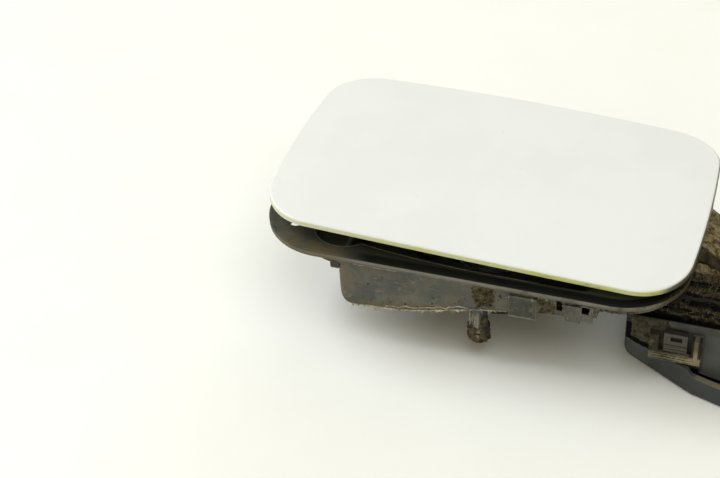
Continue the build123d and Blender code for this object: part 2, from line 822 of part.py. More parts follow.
# Bolt that slides out into the striker's eye
with BuildPart() as lock_bolt:
    with BuildSketch(Plane.YZ.offset(bolt_tail)):
        with Locations((0, lock_z)):
            Circle(bolt_radius)
    extrude(amount=bolt_tip - bolt_tail)
    chamfer(lock_bolt.edges().group_by(Axis.X)[-1], 0.6)
    with BuildSketch(Plane.YZ.offset(bolt_tail)):
        with Locations((0, lock_z)):
            Circle(spindle_radius + 0.3)
    extrude(amount=12.5, mode=Mode.SUBTRACT)

# The door stands a little ajar, so its pieces are turned about the pin
for piece in (door_skin, door_inner, hinge_arm, arm_screws, arm_bushes, lock_striker, striker_rivets):
    piece.part = piece.part.rotate(hinge_axis, ajar_angle)

door_skin.part.label = "door_skin"
export_step(door_skin.part, "parts/door_skin.step")
door_inner.part.label = "door_inner"
export_step(door_inner.part, "parts/door_inner.step")
hinge_arm.part.label = "hinge_arm"
export_step(hinge_arm.part, "parts/hinge_arm.step")
arm_screws.part.label = "arm_screws"
export_step(arm_screws.part, "parts/arm_screws.step")
arm_bushes.part.label = "arm_bushes"
export_step(arm_bushes.part, "parts/arm_bushes.step")
lock_striker.part.label = "lock_striker"
export_step(lock_striker.part, "parts/lock_striker.step")
striker_rivets.part.label = "striker_rivets"
export_step(striker_rivets.part, "parts/striker_rivets.step")
housing.part.label = "housing"
export_step(housing.part, "parts/housing.step")
hinge_cover.part.label = "hinge_cover"
export_step(hinge_cover.part, "parts/hinge_cover.step")
hinge_pin.part.label = "hinge_pin"
export_step(hinge_pin.part, "parts/hinge_pin.step")
pin_retainers.part.label = "pin_retainers"
export_step(pin_retainers.part, "parts/pin_retainers.step")
hinge_spring.part.label = "hinge_spring"
export_step(hinge_spring.part, "parts/hinge_spring.step")
filler_boot.part.label = "filler_boot"
export_step(filler_boot.part, "parts/filler_boot.step")
boot_ring.part.label = "boot_ring"
export_step(boot_ring.part, "parts/boot_ring.step")
ring_screws.part.label = "ring_screws"
export_step(ring_screws.part, "parts/ring_screws.step")
bump_stops.part.label = "bump_stops"
export_step(bump_stops.part, "parts/bump_stops.step")
lock_case.part.label = "lock_case"
export_step(lock_case.part, "parts/lock_case.step")
lock_lid.part.label = "lock_lid"
export_step(lock_lid.part, "parts/lock_lid.step")
lock_motor.part.label = "lock_motor"
export_step(lock_motor.part, "parts/lock_motor.step")
lock_screws.part.label = "lock_screws"
export_step(lock_screws.part, "parts/lock_screws.step")
lock_bolt.part.label = "lock_bolt"
export_step(lock_bolt.part, "parts/lock_bolt.step")
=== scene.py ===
# Looks, dirt, camera and light of a car fuel door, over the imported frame
import math
import random

import bmesh
import bpy
from mathutils import Matrix, Vector, noise
from mathutils.bvhtree import BVHTree


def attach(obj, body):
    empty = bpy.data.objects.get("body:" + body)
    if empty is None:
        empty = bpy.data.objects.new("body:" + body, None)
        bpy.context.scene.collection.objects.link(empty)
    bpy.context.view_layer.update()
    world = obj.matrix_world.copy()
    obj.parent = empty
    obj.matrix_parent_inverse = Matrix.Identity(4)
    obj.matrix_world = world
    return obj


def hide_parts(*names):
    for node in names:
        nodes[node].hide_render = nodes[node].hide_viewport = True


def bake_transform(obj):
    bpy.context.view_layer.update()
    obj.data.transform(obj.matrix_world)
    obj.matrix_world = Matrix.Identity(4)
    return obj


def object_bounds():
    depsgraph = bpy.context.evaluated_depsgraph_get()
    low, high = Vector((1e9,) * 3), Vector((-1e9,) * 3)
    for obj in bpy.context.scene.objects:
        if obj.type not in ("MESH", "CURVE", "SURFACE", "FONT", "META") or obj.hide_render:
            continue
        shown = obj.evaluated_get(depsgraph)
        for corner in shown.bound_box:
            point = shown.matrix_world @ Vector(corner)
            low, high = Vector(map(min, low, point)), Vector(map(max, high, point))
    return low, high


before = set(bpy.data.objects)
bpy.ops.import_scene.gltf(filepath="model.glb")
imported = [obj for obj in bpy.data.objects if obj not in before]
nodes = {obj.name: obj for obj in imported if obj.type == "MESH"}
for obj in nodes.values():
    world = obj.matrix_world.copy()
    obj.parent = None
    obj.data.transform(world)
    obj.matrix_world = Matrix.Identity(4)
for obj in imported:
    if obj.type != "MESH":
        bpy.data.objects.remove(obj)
cad_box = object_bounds()
scene = bpy.context.scene
MM = 0.001

# Places on the part, in millimetres
WALL_Y = -59.6  # face of the housing's front wall
FLANGE_CORNER = (65.6, 33.3)  # centre of the flange's corners at the hinge end
EDGE_Z = 2.95  # just under the flange's top
BAY_X, BAY_Y, BAY_RADIUS = -56, 42, 14.35
DRAIN_X, DRAIN_Y, DRAIN_RADIUS = 8.0, -53.6, 4.0
DRAIN_BEAD_RADIUS, DRAIN_BEAD_TOP, DRAIN_FOOT = 4.6, -29.0, -36.4
COVER_SLOPE = 0.395  # fall of the cover's rim along x, left of the loop
BRIM_SLOPE = 0.237  # fall of the cover's rim along x, right of the loop
FOOT_LINE = ((-55.8, -26.6), (-24.0, -24.0), (10.0, -15.6), (42.0, -10.4), (80.5, -6.0))
GROOVES = ((-42.6, 1.2), (-39.3, 1.2), (-33.6, 1.8), (-24.1, 1.8))  # middle and half width
GROOVE_SHADOWS = ((-43.9, -41.0), (-40.4, -38.2), (-35.4, -31.8), (-25.8, -22.6))

# Colours, linear; a pair holds the two ends of a mottled tone
PAINT = (0.780, 0.790, 0.808), (0.805, 0.815, 0.838)
PAINT_SPECK = (0.42, 0.40, 0.31)
PAINT_DOT = (0.30, 0.29, 0.25)
EDGE_OLIVE = (0.45, 0.465, 0.075)
EDGE_DARK_OLIVE = (0.22, 0.25, 0.045)
RIM_SHADE_AND_GRIME = (0.020, 0.017, 0.020)
TAN_STAIN = (0.15, 0.112, 0.048)
BARE_EDGE = (0.32, 0.31, 0.26)
DRAIN_STREAK = (0.24, 0.225, 0.165)
POCKET_WALL_LIGHT = (0.104, 0.108, 0.109), (0.158, 0.163, 0.169)
LOOP_FILM = (0.045, 0.039, 0.025), (0.125, 0.113, 0.074)
LOOP_LIT = (0.165, 0.152, 0.108), (0.300, 0.262, 0.168)
LOOP_DIM = (0.022, 0.019, 0.013)
LOOP_POST = (0.035, 0.032, 0.024)
LOOP_SHADE = (0.012, 0.011, 0.008)
LOOP_STEP = (0.012, 0.010, 0.007)
OPENING_SHADE = (0.024, 0.024, 0.021)
GAP_SHADE_BLACK = (0.003, 0.003, 0.003)
MUCK = (0.026, 0.021, 0.012), (0.135, 0.116, 0.074)
WORN_LIP = (0.205, 0.195, 0.158)
LAND_LINE = (0.036, 0.036, 0.031), (0.075, 0.078, 0.066)
LAND_SHADE = (0.005, 0.0052, 0.0045)
FAR_LAND = (0.006, 0.006, 0.005)
COVER_BRIM = (0.165, 0.145, 0.102)
CATCH = (0.068, 0.063, 0.047)
CATCH_LEDGE = (0.088, 0.080, 0.056)
CATCH_ROW = (0.010, 0.009, 0.007)
CATCH_SHADE = (0.010, 0.010, 0.012)
CATCH_SLOT_SHADE = (0.012, 0.011, 0.008)
SOIL = (0.016, 0.012, 0.006), (0.125, 0.102, 0.057)
STRAW = (0.27, 0.235, 0.155)
RIDGE_SHADE = (0.010, 0.008, 0.005)
GROOVE_SHADE = (0.003, 0.0026, 0.002)
DAMP_SOIL = (0.017, 0.015, 0.011)
RUBBER = (0.016, 0.016, 0.017), (0.045, 0.043, 0.040)
RUBBER_BLOOM = (0.12, 0.115, 0.10)
RUST = (0.17, 0.075, 0.028)
FLOOR = (0.915, 0.915, 0.905), (0.93, 0.93, 0.925)
SKY = (1.0, 0.885, 0.545, 1.0)
LAMP = (0.905, 0.965, 1.01)


# Camera, set from the photograph's perspective
camera_data = bpy.data.cameras.new("camera")
camera_data.lens = 72.52
camera_data.sensor_width = 36.0
camera_data.sensor_fit = "HORIZONTAL"
camera_data.clip_start = 0.01
camera = bpy.data.objects.new("camera", camera_data)
right = Vector((0.94231277, 0.33023944, -0.0546677))
up = Vector((-0.16781214, 0.6073782, 0.77648619))
back = Vector((0.28963034, -0.72251895, 0.62775842))
turn = Matrix((right, up, back)).transposed().to_4x4()
camera.matrix_world = Matrix.Translation((0.13718414, -0.50922417, 0.402818)) @ turn
scene.collection.objects.link(camera)
scene.camera = camera


# A material and the nodes that make its masks and tones, with places in millimetres
class Shade:
    def __init__(self, name, rough=0.5):
        self.material = bpy.data.materials.new(name)
        self.material.use_nodes = True
        self.tree = self.material.node_tree
        self.shader = self.tree.nodes["Principled BSDF"]
        self.use("Roughness", rough)
        coords = self.node("ShaderNodeTexCoord")
        scale = self.node("ShaderNodeMapping", Scale=(1 / MM, 1 / MM, 1 / MM))
        self.link(coords.outputs["Object"], scale.inputs["Vector"])
        self.place = scale.outputs["Vector"]
        split = self.node("ShaderNodeSeparateXYZ")
        self.link(self.place, split.inputs[0])
        self.x, self.y, self.z = split.outputs
        facing = self.node("ShaderNodeSeparateXYZ")
        self.link(coords.outputs["Normal"], facing.inputs[0])
        self.nx, self.ny, self.nz = facing.outputs
        self.axes = dict(zip(("x", "y", "z"), split.outputs), nx=self.nx, ny=self.ny, nz=self.nz)

    def node(self, kind, **values):
        made = self.tree.nodes.new(kind)
        for name, value in values.items():
            made.inputs[name].default_value = value
        return made

    def link(self, a, b):
        self.tree.links.new(a, b)

    def put(self, socket, value):
        if hasattr(value, "is_linked"):
            self.link(value, socket)
        else:
            socket.default_value = value

    def use(self, name, value):
        self.put(self.shader.inputs[name], value)

    def math(self, kind, a, b):
        node = self.node("ShaderNodeMath")
        node.operation = kind
        self.put(node.inputs[0], a)
        self.put(node.inputs[1], b)
        return node.outputs[0]

    def plus(self, a, b):
        return self.math("ADD", a, b)

    def minus(self, a, b):
        return self.math("SUBTRACT", a, b)

    def part(self, value, share):
        return self.math("MULTIPLY", value, share)

    def all(self, *masks):
        total = masks[0]
        for mask in masks[1:]:
            total = self.math("MULTIPLY", total, mask)
        return total

    def any(self, *masks):
        total = masks[0]
        for mask in masks[1:]:
            total = self.math("MAXIMUM", total, mask)
        return total

    def mix(self, factor, a, b):
        node = self.node("ShaderNodeMix")
        node.data_type = "RGBA"
        self.put(node.inputs["Factor"], factor)
        for socket, value in ((node.inputs[6], a), (node.inputs[7], b)):
            if isinstance(value, tuple):
                socket.default_value = (*value, 1.0)
            else:
                self.link(value, socket)
        return node.outputs[2]

    def ramp(self, value, low, high, out_low=0.0, out_high=1.0):
        node = self.node("ShaderNodeMapRange")
        node.interpolation_type = "SMOOTHSTEP"
        self.put(node.inputs["Value"], value)
        node.inputs["From Min"].default_value = low
        node.inputs["From Max"].default_value = high
        node.inputs["To Min"].default_value = out_low
        node.inputs["To Max"].default_value = out_high
        return node.outputs["Result"]

    def band(self, value, low, high, soft):
        rise = self.ramp(value, low - soft, low + soft)
        fall = self.ramp(value, high - soft, high + soft, 1.0, 0.0)
        return self.math("MULTIPLY", rise, fall)

    # Limits on axes: three numbers are a band with its softness, two or four a ramp
    def within(self, **limits):
        masks = []
        for axis, limit in limits.items():
            shape = self.band if len(limit) == 3 else self.ramp
            masks.append(shape(self.axes[axis], *limit))
        return self.all(*masks)

    # Thin level lines at the given heights
    def rows(self, *heights):
        return self.any(*(self.band(self.z, z, z + 0.5, 0.12) for z in heights))

    def noise(self, size, detail=4.0, rough=0.6, stretch=None):
        node = self.node("ShaderNodeTexNoise", Scale=1.0 / size, Detail=detail, Roughness=rough)
        place = self.place
        if stretch:
            scale = self.node("ShaderNodeMapping", Scale=stretch)
            self.link(place, scale.inputs["Vector"])
            place = scale.outputs["Vector"]
        self.link(place, node.inputs["Vector"])
        return node.outputs["Fac"]

    def blotch(self, size, detail, rough, low, high, out=(0.0, 1.0), stretch=None):
        return self.ramp(self.noise(size, detail, rough, stretch), low, high, *out)

    def hairlines(self, size, width, stretch):
        off = self.minus(self.noise(size, 2, 0.5, stretch), 0.5)
        return self.ramp(self.math("ABSOLUTE", off, 0.0), width, 0.3 * width)

    def dots(self, size, reach):
        node = self.node("ShaderNodeTexVoronoi", Scale=1.0 / size)
        self.link(self.place, node.inputs["Vector"])
        return self.ramp(node.outputs["Distance"], reach, 0.6 * reach)

    def rounded(self, radius):
        node = self.node("ShaderNodeBevel", Radius=radius * MM)
        node.samples = 4
        return node.outputs["Normal"]

    def edges(self, radius):
        plain = self.node("ShaderNodeNewGeometry")
        dot = self.node("ShaderNodeVectorMath")
        dot.operation = "DOT_PRODUCT"
        self.link(self.rounded(radius), dot.inputs[0])
        self.link(plain.outputs["Normal"], dot.inputs[1])
        return self.ramp(dot.outputs["Value"], 0.995, 0.90)

    # Distance outside a corner's centre, the same on both sides of y = 0
    def beyond(self, x, y):
        along = self.math("MAXIMUM", self.minus(self.x, x), 0.0)
        across = self.math("MAXIMUM", self.minus(self.math("ABSOLUTE", self.y, 0.0), y), 0.0)
        return self.math("SQRT", self.plus(self.part(along, along), self.part(across, across)), 0.0)

    def relief(self, height, depth, edge=0.0):
        bump = self.node("ShaderNodeBump", Strength=1.0, Distance=depth * MM)
        self.link(height, bump.inputs["Height"])
        if edge:
            self.link(self.rounded(edge), bump.inputs["Normal"])
        self.use("Normal", bump.outputs["Normal"])


def tint(tone, *gains):
    return tuple(t * g for t, g in zip(tone, gains * (3 // len(gains))))


# White paint, yellow-olive along the turned edge, and its rim darkened at the hinge end and far side
# with painted shade and grime
def white_paint(name, olive_edge):
    s = Shade(name)
    paint = s.mix(s.blotch(45, 3, 0.6, 0.35, 0.65), *PAINT)
    paint = s.mix(s.part(s.blotch(1.6, 3, 0.8, 0.72, 0.80), 0.10), paint, PAINT_SPECK)
    paint = s.mix(s.part(s.dots(19, 0.017), 0.4), paint, PAINT_DOT)
    if olive_edge:
        # Yellow-olive on the turned edge, stronger to the right, with darker olive patches
        side = s.ramp(s.nz, 0.75, 0.05)
        patch = s.blotch(7, 5, 0.75, 0.32, 0.66, (0.70, 1.0), (0.35, 1, 1))
        paint = s.mix(s.all(side, patch, s.ramp(s.x, -90, 40, 0.60, 1.0)), paint, EDGE_OLIVE)
        dark_olive = s.all(side, s.ramp(s.x, -40, 20), s.blotch(3, 5, 0.75, 0.54, 0.66, stretch=(0.4, 1, 1)))
        paint = s.mix(s.part(dark_olive, 0.6), paint, EDGE_DARK_OLIVE)
        # Painted shade with grime: the rim darker at the hinge end and on the far side
        hinge_end = s.within(nx=(0.45, 0.75), nz=(0.97, 0.80))
        far_side = s.within(ny=(0.3, 0.8), nz=(0.7, 0.3))
        paint = s.mix(s.part(s.any(hinge_end, far_side), 0.92), paint, RIM_SHADE_AND_GRIME)
    s.use("Base Color", paint)
    s.use("Roughness", s.blotch(1.1, 5, 0.7, 0.3, 0.7, (0.38, 0.46)))
    s.use("Coat Weight", 0.25)
    s.use("Coat Roughness", 0.35)
    s.relief(s.noise(2.2, 2), 0.004)
    return s


# Dark moulded plastic with dust, scratches and stains
def aged(s, tone):
    cloud = s.blotch(15, 4, 0.6, 0.36, 0.64)
    base = s.mix(cloud, tint(tone, 0.74, 0.80, 0.86), tint(tone, 1.22, 1.15, 0.98))
    smear = s.blotch(4.5, 5, 0.72, 0.50, 0.74, stretch=(0.2, 1, 1))
    base = s.mix(s.part(smear, 0.55), base, tint(tone, 2.0, 1.95, 1.75))
    stain = s.blotch(6, 6, 0.78, 0.54, 0.68)
    base = s.mix(s.part(stain, 0.65), base, tint(tone, 0.50, 0.42, 0.30))
    grit = s.all(s.dots(2.2, 0.20), s.blotch(9, 3, 0.6, 0.48, 0.58))
    base = s.mix(s.part(grit, 0.4), base, tint(tone, 0.18, 0.15, 0.11))
    hair = s.all(s.hairlines(3.2, 0.03, (0.12, 1, 1)), s.blotch(6, 4, 0.6, 0.52, 0.64))
    base = s.mix(s.part(hair, 0.5), base, tint(tone, 2.8, 2.7, 2.3))
    dust = s.all(s.ramp(s.nz, 0.45, 0.95), s.blotch(5, 6, 0.72, 0.40, 0.70))
    return s.mix(s.part(dust, 0.45), base, tint(tone, 1.9, 1.8, 1.45))


def finish(s, base, edge):
    s.use("Base Color", base)
    s.use("Roughness", s.blotch(14, 5, 0.65, 0.25, 0.75, (0.52, 0.74)))
    s.use("Specular IOR Level", 0.35)
    s.relief(s.noise(0.55, 3, 0.6), 0.05, edge)
    return s


def plastic(name, tone, edge):
    s = Shade(name)
    return finish(s, s.mix(s.part(s.edges(edge), 0.45), aged(s, tone), tint(tone, 2.2, 2.1, 1.9)), edge)


# Stains, a dark tab and worn edges on the housing's front wall
def wall_marks(s, base, tone, front, rag):
    mottle = s.all(front, s.blotch(6, 5, 0.7, 0.50, 0.68, stretch=(1, 1, 0.45)))
    base = s.mix(s.part(mottle, 0.6), base, tint(tone, 1.75, 1.75, 1.6))
    toe = s.part(s.ramp(s.x, -46, -55), 0.9)
    along_foot = s.ramp(s.minus(s.z, s.part(s.x, 0.16)), -15, -18.5)
    stain = s.all(front, s.any(toe, s.all(along_foot, s.ramp(s.x, 8, -10))))
    base = s.mix(s.all(stain, s.ramp(rag, 0.34, 0.62, 0.25, 0.9)), base, TAN_STAIN)
    tab = s.within(x=(-54.2, -54.6), z=(-7.2, 0, 0.3))
    base = s.mix(s.part(tab, 0.8), base, tint(tone, 0.32, 0.30, 0.24))
    edge = s.edges(0.6)
    base = s.mix(s.part(edge, 0.5), base, tint(tone, 2.3, 2.1, 1.8))
    clips = s.within(x=(22, 61, 1), z=(-2, -4))
    chipped = s.all(edge, front, clips, s.blotch(1.8, 4, 0.6, 0.40, 0.55))
    return s.mix(s.part(chipped, 0.8), base, BARE_EDGE)


# Soil caked in the hinge pocket, on the front wall and on the drain
def caked_soil(s, base, front, rag):
    ledge = s.within(y=(-41.0, -43.0), x=(106, 82, 0.10, 0.75))
    ridges = s.any(ledge, s.ramp(s.y, -42.6, -41.4))
    pocket = s.all(s.within(x=(66, 74), z=(-30, -6, 2.5)), ridges)
    by_clips = s.all(s.within(x=(35, 50, 2.5), z=(-13, -1, 2.5)), front)
    by_drain = s.all(s.within(x=(6, 18, 2.5), z=(-16, -1, 2)), front)
    drain_end = s.within(x=(1, 15, 1), z=(-26, -30))
    where = s.any(pocket, s.part(by_clips, 0.8), s.part(by_drain, 0.9), drain_end)
    caked = s.ramp(s.plus(where, s.part(rag, 0.7)), 0.95, 1.30)
    base = s.mix(caked, base, soil_tone(s))
    runs = s.blotch(1.3, 3, 0.6, 0.50, 0.60, stretch=(1, 1, 0.12))
    streak = s.all(s.within(x=(2, 14, 0.5), z=(-19, -21)), runs)
    return s.mix(s.part(streak, 0.7), base, DRAIN_STREAK)


# The loop that holds the cover's catch, under a tan film with painted light and shade, and painted light
# on the wall right of it, brighter towards the bottom
def loop_film(s, base, rag):
    # Painted light on the pocket wall right of the loop, brighter towards the bottom
    wall = s.within(x=(103.5, 105), y=(-43.8, -44.6), z=(-44, -19, 1))
    base = s.mix(s.part(wall, 0.8), base, s.mix(s.ramp(s.z, -24, -38), *POCKET_WALL_LIGHT))
    tone = s.mix(s.ramp(rag, 0.35, 0.65), *LOOP_FILM)
    tone = s.mix(s.ramp(s.x, 101, 86, 0.0, 0.75), tone, LOOP_DIM)
    strip = s.any(s.band(s.x, 100.5, 102.4, 0.3), s.ramp(s.z, -29.6, -31.0))
    lit = s.all(strip, s.blotch(1.1, 4, 0.7, 0.30, 0.55, (0.5, 1.0)))
    tone = s.mix(lit, tone, s.mix(s.ramp(s.x, 90, 96), *LOOP_LIT))
    post = s.within(x=(97.5, 98.5), z=(-29.5, -24.5))
    tone = s.mix(s.part(post, 0.65), tone, LOOP_POST)
    shaded = s.all(s.within(x=(98.4, 99.0), z=(-31.0, -29.6)), s.ramp(strip, 0.9, 0.4))
    tone = s.mix(s.part(shaded, 0.8), tone, LOOP_SHADE)
    # Painted shade: dark lines along the bottom bar's steps
    steps = s.all(s.rows(-31.2, -32.6, -34.0), s.band(s.x, 83, 99, 1.5))
    tone = s.mix(s.all(steps, s.blotch(0.9, 3, 0.6, 0.35, 0.5)), tone, LOOP_STEP)
    loop = s.within(x=(81, 104.5, 0.5), y=(-45.6, -46.4), z=(-35, -18, 1))
    return s.mix(s.part(loop, 0.9), base, tone)


# Painted shade: black where the gaps round the cover, beside the first ridge and in the clip plates lie
# in shadow
def gap_shade_mask(s, ragged):
    end = s.all(s.band(s.plus(s.x, ragged), 70, 73.2, 0.3), s.band(s.z, -29, -17.6, 0.8))
    rim = s.plus(s.plus(s.z, s.part(s.x, COVER_SLOPE)), s.plus(ragged, 0.3))
    left = s.all(s.band(rim, -1.0, 1.8, 0.3), s.band(s.x, 71, 82, 0.6))
    brim = s.plus(s.z, s.part(s.x, BRIM_SLOPE))
    right = s.all(s.band(brim, -19.2, -17.4, 0.2), s.ramp(s.x, 98.6, 99.4))
    notch = s.within(x=(98.6, 103.0, 0.4), z=(-43.5, -39.8, 0.4))
    round_cover = s.all(s.any(end, left, right, notch), s.band(s.y, -45.4, -44, 0.2))
    bed = s.within(y=(-43.8, -41.0, 0.35), x=(71.5, 72.5), z=(-18.5, -11, 0.5))
    slit = s.within(x=(43.25, 45.95, 0.03), z=(-7.85, -1.75, 0.03), y=(-59.48, -59.3))
    hole = s.within(x=(54.15, 57.65, 0.03), z=(-6.35, -2.45, 0.03), y=(-60.68, -60.4))
    return s.any(round_cover, bed, slit, hole)


# A darker clip plate, and muck round the plates
def plate_grime(s, base, tone, front, muck):
    plate = s.within(x=(23.2, 34.8, 0.2), y=(-59.9, -60.1), z=(-15, -3.8, 0.3))
    patchy = s.blotch(5, 5, 0.7, 0.35, 0.60, (0.5, 0.95))
    base = s.mix(s.all(plate, patchy), base, tint(tone, 0.36, 0.40, 0.42))
    grime = s.all(s.within(x=(20, 62, 3), z=(0, -1)), front, s.blotch(2.4, 6, 0.8, 0.46, 0.60))
    return s.mix(s.part(grime, 0.55), base, muck)


# The flange: worn pale along its lip, painted shade on the land under the door, lighter towards the
# opening, soil at the hinge end
def flange_wear(s, base, tone, reach, flat, muck, ragged):
    worn = s.blotch(4, 5, 0.7, 0.30, 0.65, (0.45, 0.9), (0.4, 1, 1))
    lip = s.all(s.ramp(reach, 28.0, 28.5), s.within(z=(0.2, 1.2), x=(-60, -40, 0.2, 1.0)), worn)
    base = s.mix(lip, base, WORN_LIP)
    smeared = s.blotch(3.0, 6, 0.8, 0.44, 0.60, stretch=(0.5, 1, 1))
    smudge = s.all(s.ramp(reach, 28.6, 29), s.within(z=(-1, 0), x=(8, 30)), smeared)
    base = s.mix(s.part(smudge, 0.65), base, muck)
    shaded = s.all(flat, s.ramp(s.x, -66, -48, 0.4, 0.7))
    base = s.mix(shaded, base, tint(tone, 0.34, 0.34, 0.30))
    # Painted shade on the land under the door's edge, lighter towards the opening
    beside = s.any(s.ramp(s.y, -48, -51), s.ramp(s.y, 48, 51), s.ramp(s.x, 57, 63))
    line = s.mix(s.ramp(s.x, -10, 50), *LAND_LINE)
    land_shade = s.mix(s.ramp(reach, 23.8, 25.6), line, LAND_SHADE)
    base = s.mix(s.all(flat, beside, s.ramp(s.x, -54, -38, 0.0, 0.94)), base, land_shade)
    far = s.all(s.ramp(s.plus(s.x, ragged), 82, 89), s.ramp(reach, 27.6, 28.4), s.ramp(s.z, -6, -4))
    far_tone = s.mix(s.ramp(s.z, 2.0, 2.6, 0.35, 0.8), soil_tone(s), FAR_LAND)
    return s.mix(far, base, far_tone)


def housing_skin(name, tone):
    s = Shade(name)
    rag = s.noise(5.5, 6, 0.75)
    ragged = s.part(s.minus(s.noise(1.6, 4, 0.7), 0.5), 3.0)
    front = s.ramp(s.y, -54, -57)
    reach = s.beyond(*FLANGE_CORNER)
    flat = s.all(s.ramp(s.z, 2.0, 2.5), s.ramp(reach, 29.4, 28.9))
    muck = s.mix(s.blotch(3.6, 4, 0.7, 0.42, 0.58), *MUCK)
    base = wall_marks(s, aged(s, tone), tone, front, rag)
    # Painted shade: darker in the pocket's left corner
    corner_shade = s.within(x=(69, 72), y=(-40.5, -42), z=(-36, -8, 3))
    base = s.mix(s.part(corner_shade, 0.3), base, tint(tone, 0.34, 0.37, 0.42))
    base = caked_soil(s, base, front, rag)
    base = loop_film(s, base, rag)
    # Painted shade: darker inside the opening
    opening = s.within(y=(-57.2, 57.2, 0.4), x=(-53, 58.5, 0.4), z=(2.2, 1.0))
    base = s.mix(s.part(opening, 0.85), base, OPENING_SHADE)
    gap_shade = gap_shade_mask(s, ragged)
    # Painted shade: the gaps turned black
    base = s.mix(gap_shade, base, GAP_SHADE_BLACK)
    base = plate_grime(s, base, tone, front, muck)
    base = flange_wear(s, base, tone, reach, flat, muck, ragged)
    finish(s, base, 0.6)
    dull = s.any(gap_shade, s.part(flat, 0.92), corner_shade)
    s.use("Specular IOR Level", s.ramp(dull, 0.0, 1.0, 0.35, 0.03))
    return s


# The arm, caked with soil outside the opening
def arm_skin(name, tone):
    s = Shade(name)
    base = s.mix(s.part(s.edges(0.4), 0.4), aged(s, tone), tint(tone, 2.2, 2.1, 1.9))
    outside = s.ramp(s.plus(s.x, s.part(s.noise(4, 5, 0.7), 10)), 84, 92)
    return finish(s, s.mix(outside, base, soil_tone(s)), 0.4)


# The hinge cover, cleaner, with dust on its brim and a tan film on its catch
def cover_skin(name, tone):
    s = Shade(name)
    base = s.mix(s.part(s.blotch(22, 3, 0.6, 0.38, 0.62), 0.7), aged(s, tone), tone)
    base = s.mix(s.ramp(s.x, 76, 84, 0.0, 0.8), base, tint(tone, 0.38, 0.41, 0.46))
    brim = s.within(z=(-37.9, -35, 0.5), x=(101, 104), y=(-50, -52))
    base = s.mix(s.all(brim, s.blotch(3, 4, 0.7, 0.3, 0.5, (0.4, 0.9))), base, COVER_BRIM)
    # Lighter along the edges: painted highlight with edge wear
    base = s.mix(s.part(s.edges(0.5), 0.55), base, tint(tone, 2.4, 2.2, 1.8))
    catch = s.within(x=(86, 99, 0.4), y=(-45.8, -46.4), z=(-31, -18, 0.6))
    base = s.mix(s.part(catch, 0.8), base, CATCH)
    ledges = s.within(x=(87, 97.8, 0.3), y=(-46, -46.6), z=(-31, -24.6, 0.2))
    base = s.mix(s.part(ledges, 0.6), base, CATCH_LEDGE)
    # Painted shade: dark rows along the steps of the catch
    rows = s.all(ledges, s.rows(-25.4, -27.0, -28.5, -30.0))
    base = s.mix(s.all(rows, s.blotch(0.9, 3, 0.6, 0.35, 0.5)), base, CATCH_ROW)
    under = s.within(x=(87, 97.8, 0.3), y=(-46, -46.6), z=(-25.5, -24.7, 0.15))
    over = s.within(x=(86, 99, 0.4), y=(-45.8, -46.4), z=(-19.6, -18.8), nz=(0.2, 0.7))
    base = s.mix(s.part(s.any(under, over), 0.85), base, CATCH_SHADE)
    # Painted shade: darker inside the catch's slot
    slot = s.within(x=(90.5, 95.3, 0.2), y=(-48.6, -46, 0.15), z=(-23.2, -20.2, 0.2))
    return finish(s, s.mix(s.part(slot, 0.8), base, CATCH_SLOT_SHADE), 0.6)


# Dry brown soil with straw, darker between the pocket's ridges
def soil_tone(s, gain=1.0):
    earth = s.mix(s.blotch(2.2, 6, 0.8, 0.36, 0.64), *(tint(tone, gain) for tone in SOIL))
    earth = s.mix(s.part(s.blotch(0.8, 4, 0.8, 0.58, 0.70), 0.65), earth, STRAW)
    wander = s.part(s.minus(s.noise(4, 3), 0.5), 2.4)
    across = s.plus(s.plus(s.y, wander), s.part(s.minus(s.x, 95), 0.03))
    grooves = s.any(*(s.band(across, low, high, 0.45) for low, high in GROOVE_SHADOWS))
    ridges = s.all(s.within(x=(69, 72), z=(-24, -20)), s.ramp(s.z, -3, -6))
    earth = s.mix(s.all(ridges, s.ramp(across, -22, -27, 0.0, 0.3)), earth, RIDGE_SHADE)
    return s.mix(s.all(grooves, ridges, s.ramp(across, -21, -22)), earth, GROOVE_SHADE)


def soil(name, damp=0.0, gain=1.0):
    s = Shade(name)
    wet = s.blotch(6, 3, 0.6, 0.2, 0.6, (damp, damp * 0.5))
    s.use("Base Color", s.mix(wet, soil_tone(s, gain), DAMP_SOIL))
    s.use("Roughness", s.blotch(2, 4, 0.6, 0.3, 0.7, (0.88, 1.0)))
    s.use("Specular IOR Level", 0.15)
    s.relief(s.noise(0.35, 5, 0.75), 0.25)
    return s


# Pale mottled tone, for flash, fibres and painted highlights
def pale_mottle(name, low, high):
    s = Shade(name, 0.7)
    s.use("Base Color", s.mix(s.blotch(1.8, 4, 0.7, 0.3, 0.7), low, high))
    return s


def rubber(name):
    s = Shade(name)
    cloud = s.noise(9, 5, 0.7)
    base = s.mix(s.ramp(cloud, 0.3, 0.75), *RUBBER)
    bloom = s.all(s.ramp(s.nz, 0.2, 0.95), s.blotch(4, 5, 0.7, 0.4, 0.75))
    s.use("Base Color", s.mix(s.part(bloom, 0.5), base, RUBBER_BLOOM))
    s.use("Roughness", s.ramp(cloud, 0.3, 0.7, 0.62, 0.85))
    s.relief(s.noise(0.8, 3), 0.06, 0.4)
    return s


def steel(name, tone, rust):
    s = Shade(name)
    s.use("Metallic", 0.9)
    grain = s.noise(0.7, 3, 0.6, (0.15, 1, 1))
    bare = s.mix(s.ramp(grain, 0.3, 0.7), tint(tone, 0.8), tone)
    spots = s.blotch(3.0, 6, 0.75, 0.62 - rust, 0.75)
    s.use("Base Color", s.mix(s.part(spots, 0.8), bare, RUST))
    s.use("Roughness", s.ramp(grain, 0.3, 0.7, 0.28, 0.5))
    s.relief(grain, 0.02, 0.25)
    return s


